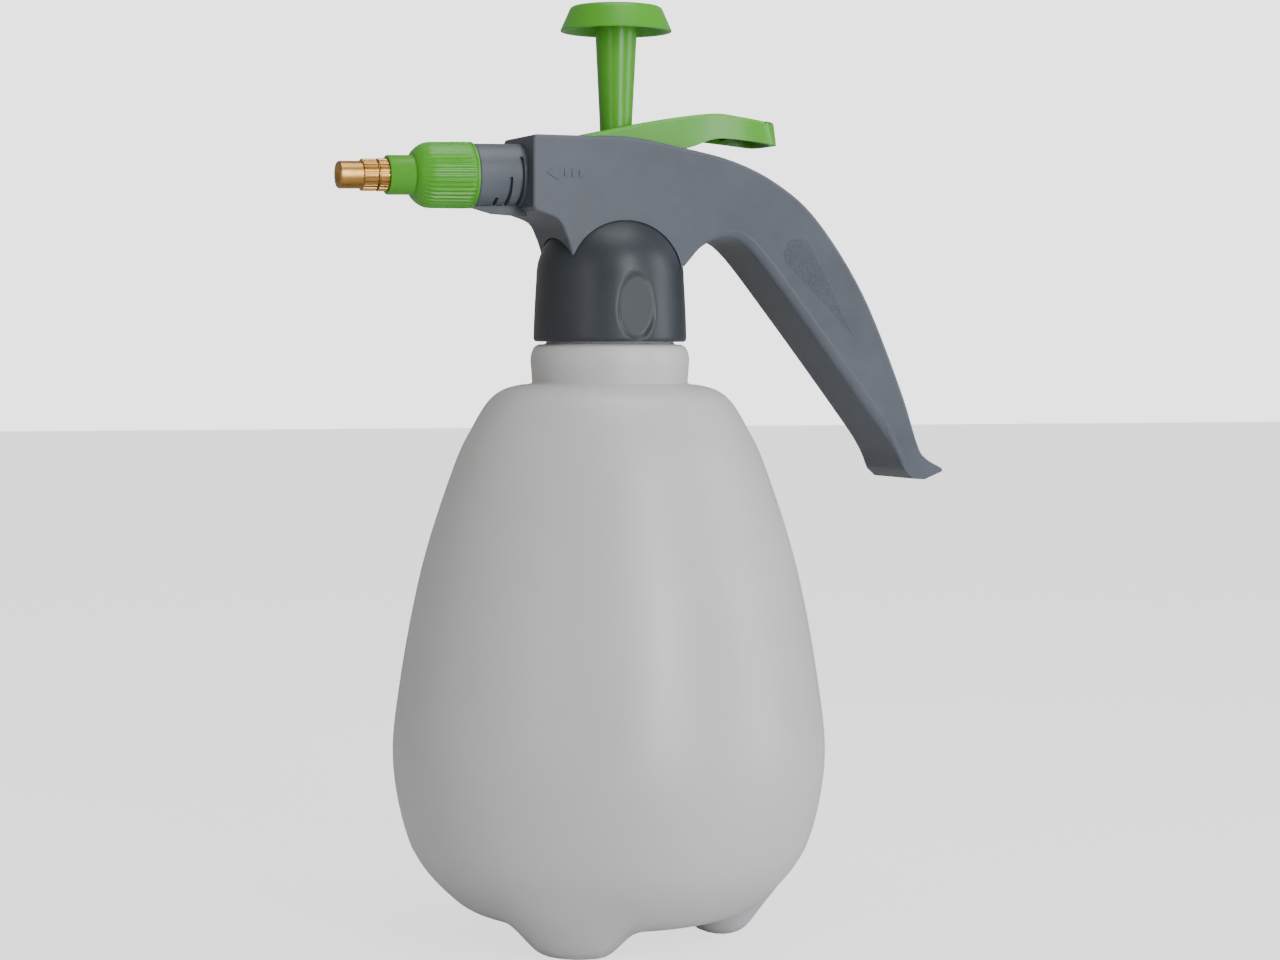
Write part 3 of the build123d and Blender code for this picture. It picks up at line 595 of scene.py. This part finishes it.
def soften_rim(piece, width, segments):
    """Rounds the edges between a top and a side face."""
    clean_start()
    bpy.context.view_layer.objects.active = piece
    bpy.ops.object.mode_set(mode="EDIT")
    bpy.ops.mesh.select_all(action="SELECT")
    bpy.ops.mesh.remove_doubles(threshold=0.01 * MM)
    bpy.ops.mesh.select_all(action="DESELECT")
    bpy.ops.mesh.select_mode(type="EDGE")
    bpy.ops.object.mode_set(mode="OBJECT")
    faces_by_edge = {}
    for face in piece.data.polygons:
        for key in face.edge_keys:
            faces_by_edge.setdefault(key, []).append(face.normal.z)
    for edge in piece.data.edges:
        slopes = sorted(faces_by_edge.get(edge.key, (0,)))
        edge.select = len(slopes) == 2 and slopes[1] > 0.8 and abs(slopes[0]) < 0.35
    bpy.ops.object.mode_set(mode="EDIT")
    bpy.ops.mesh.bevel(offset=width * MM, segments=segments, affect="EDGES", clamp_overlap=False)
    bpy.ops.mesh.select_mode(type="VERT")
    bpy.ops.object.mode_set(mode="OBJECT")


soften_rim(lever, LEVER_ROUNDING, 3)
finish_piece(lever, green.material, "lever", "green_plastic", "trigger_lever", angle=35, flat_sides=2)

# ---- brass nozzle -----------------------------------------------------------------------------------
# Turned and knurled brass, lacquerless: warm bright crests, darker in the grooves, with fine turning lines.
brass = Finish("turned_brass", {"Metallic": 1.0})
cloud = brass.noise(160.0, 3.0)
pits = brass.add("ShaderNodeNewGeometry", output=7)
groove = brass.spread(pits, 0.5, 0.42)
tone = brass.mix(brass.spread(cloud, 0.3, 0.7), colour(0.36, 0.19, 0.048), colour(0.45, 0.25, 0.072))
brass.feed("Base Color", brass.mix(groove * 0.15, tone, colour(0.16, 0.08, 0.03)))
brass.feed("Roughness", brass.spread(brass.noise(700.0), 0.3, 0.7, 0.3, 0.38))
turning = brass.add("ShaderNodeTexWave", {"wave_type": "BANDS", "bands_direction": "X"},
                    {"Vector": brass.place(), "Scale": 900.0, "Distortion": 0.6, "Detail": 2.0})
brass.bump(turning, 0.004 * MM, 0.15)
for name in ("nozzle_stem", "nozzle_cap", "swirl_core"):
    nodes[name].data.materials.clear()
    nodes[name].data.materials.append(brass.material)

# ---- nozzle nut -------------------------------------------------------------------------------------
# Green polypropylene nut with fine grip ribs, which clamps the brass body on the spout. The ribs die out
# where its shoulder turns in to the narrow neck.
NUT_RIBS, RIB_DEPTH, NUT_SIDES = 42, 0.42, 336
shoulder = smooth_run([(10.35, -28.2), (10.05, -30.2), (9.2, -32.2), (8.1, -33.5), (7.3, -34.1)], 4)
nut_outline = ([(7.25, -14.12), (10.35, -14.12), (10.7, -14.4), (10.72, -15.0), (10.45, -15.3)]
               + [(10.5 - 0.15 * i / 16, -15.5 - 12.5 * i / 16) for i in range(17)] + shoulder
               + [(6.5, -34.35), (6.35, -34.6), (6.35, -42.3), (6.1, -42.6), (3.3, -42.6), (3.3, -37), (4.3, -37),
                  (4.3, -30.4), (7.25, -30.4)])
nut = turned("nozzle_grip_nut", nut_outline + nut_outline[:1], NUT_SIDES, NOZZLE_CENTRE, NOZZLE_AXIS)
across_axis = Vector((-NOZZLE_AXIS.z, 0, NOZZLE_AXIS.x))
for corner in nut.data.vertices:
    arm = corner.co / MM - NOZZLE_CENTRE
    along = arm.dot(NOZZLE_AXIS)
    radial = arm - NOZZLE_AXIS * along
    if radial.length < 8.0 or along > -15.35:
        continue
    turn = atan2(radial.y, radial.dot(across_axis))
    crest = max(min(cos(turn * NUT_RIBS) * 1.6 + 0.2, 1), -1) * 0.5 + 0.5
    strength = min(max((along + 33.0) / 3.0, 0), 1) * min((-15.35 - along) / 0.5, 1)
    corner.co += radial.normalized() * (crest - 0.35) * RIB_DEPTH * strength * MM
finish_piece(nut, green.material, "head", "green_plastic", "nozzle_nut", angle=40)

# ---- inner pieces -----------------------------------------------------------------------------------
# White polypropylene pump cylinder and fittings, a dip tube in the same white though the real one is translucent,
# a blue foot cap, black rubber seals and a steel spring. They show faintly through the bottle and when the head is
# lifted.
white = moulded("white_plastic", colour(0.62, 0.62, 0.6), colour(0.72, 0.72, 0.7), 0.3, 0.4)
blue = moulded("blue_plastic", colour(0.04, 0.2, 0.42), colour(0.06, 0.26, 0.5), 0.3, 0.4)
rubber = moulded("black_rubber", colour(0.012, 0.012, 0.013), colour(0.022, 0.022, 0.023), 1.2, 0.62)
steel = Finish("spring_steel", {"Metallic": 1.0})
steel.feed("Base Color", steel.mix(steel.spread(steel.noise(400.0), 0.3, 0.7), colour(0.5, 0.5, 0.5),
                                   colour(0.62, 0.61, 0.6)))
steel.feed("Roughness", steel.spread(steel.noise(1500.0), 0.3, 0.7, 0.25, 0.4))
INNER_FINISHES = (
    (white, ("pump_cylinder", "rod_guide", "piston_rod", "piston", "dip_tube", "dip_tube_filter", "inlet_nipple",
             "valve_seat", "valve_stem", "valve_gland")),
    (blue, ("cylinder_foot_cap",)),
    (rubber, ("neck_gasket", "check_valve", "piston_seal", "valve_washer", "stem_o_ring", "nozzle_o_ring",
              "nozzle_washer")),
    (steel, ("valve_spring",)),
)
for finish, names in INNER_FINISHES:
    for name in names:
        nodes[name].data.materials.clear()
        nodes[name].data.materials.append(finish.material)

# ---- floor, light and camera ------------------------------------------------------------------------
# A pale floor under a pale surround, one soft light from the right and weaker ones from the left and above.
clean_start()
bpy.ops.mesh.primitive_plane_add(size=12, location=(0, 0, 0))
floor = bpy.context.object
floor.name = "floor"
paper = Finish("pale_paper", {"Roughness": 0.9, "Base Color": colour(0.66, 0.66, 0.66)})
seen = paper.add("ShaderNodeLightPath")
bright = paper.tree.nodes.new("ShaderNodeEmission")
bright.inputs["Color"].default_value = (1, 1, 1, 1)
bright.inputs["Strength"].default_value = 3.2
blend = paper.tree.nodes.new("ShaderNodeMixShader")
share = seen * 0.5
for source, socket in ((share.socket, 0), (paper.shader.outputs[0], 1), (bright.outputs[0], 2)):
    paper.tree.links.new(source, blend.inputs[socket])
paper.tree.links.new(blend.outputs[0], paper.tree.nodes["Material Output"].inputs["Surface"])
floor.data.materials.append(paper.material)

SURROUND_SEEN, SURROUND_LIGHT = 2.8, 0.38
world = bpy.data.worlds.new("studio")
bpy.context.scene.world = world
world.use_nodes = True
sky = world.node_tree.nodes["Background"]
sky.inputs["Color"].default_value = (1, 1, 1, 1)
ray = world.node_tree.nodes.new("ShaderNodeLightPath")
level = world.node_tree.nodes.new("ShaderNodeMapRange")
level.inputs["To Min"].default_value = SURROUND_LIGHT
level.inputs["To Max"].default_value = SURROUND_SEEN
world.node_tree.links.new(ray.outputs["Is Camera Ray"], level.inputs["Value"])
world.node_tree.links.new(level.outputs[0], sky.inputs["Strength"])

CAMERA_TURN, CAMERA_DISTANCE, CAMERA_HEIGHT = radians(21), 0.957, 0.194
ahead = Vector((sin(CAMERA_TURN), cos(CAMERA_TURN), 0))
across = Vector((cos(CAMERA_TURN), -sin(CAMERA_TURN), 0))


def soft_light(name, sideways, nearer, height, width, tall, power, tint=(1, 1, 1)):
    """A softbox placed from the camera's view of the object, aimed at the object's middle."""
    light = bpy.data.lights.new(name, "AREA")
    light.shape, light.size, light.size_y, light.energy, light.color = "RECTANGLE", width, tall, power, tint
    lamp = bpy.data.objects.new(name, light)
    bpy.context.scene.collection.objects.link(lamp)
    lamp.location = across * sideways - ahead * nearer + Vector((0, 0, height))
    lamp.rotation_euler = (Vector((0, 0, 0.15)) - lamp.location).to_track_quat("-Z", "Y").to_euler()


soft_light("key", 0.62, 1.05, 0.5, 0.26, 1.0, 14, (0.94, 0.96, 1.0))
soft_light("side", 1.1, 0.1, 0.35, 0.4, 0.9, 7, (0.93, 0.95, 1.0))
soft_light("fill", -0.75, 1.1, 0.35, 0.25, 0.9, 3.0, (1.0, 0.91, 0.83))
soft_light("top", 0.1, 0.1, 1.1, 0.6, 0.6, 5)

FOCAL_SHARE, SENSOR = 2.266, 36.0
AIM_RIGHT, AIM_DOWN, CAMERA_ROLL = 0.0105, 0.0446, radians(0.16)
camera_data = bpy.data.cameras.new("camera")
camera_data.sensor_width = SENSOR
camera_data.lens = SENSOR * FOCAL_SHARE
camera = bpy.data.objects.new("camera", camera_data)
bpy.context.scene.collection.objects.link(camera)
camera.location = -ahead * CAMERA_DISTANCE + Vector((0, 0, CAMERA_HEIGHT))
aim = camera.location + ahead + across * AIM_RIGHT - Vector((0, 0, AIM_DOWN))
turned_view = (aim - camera.location).to_track_quat("-Z", "Y") @ Quaternion((0, 0, 1), CAMERA_ROLL)
camera.rotation_euler = turned_view.to_euler()
bpy.context.scene.camera = camera
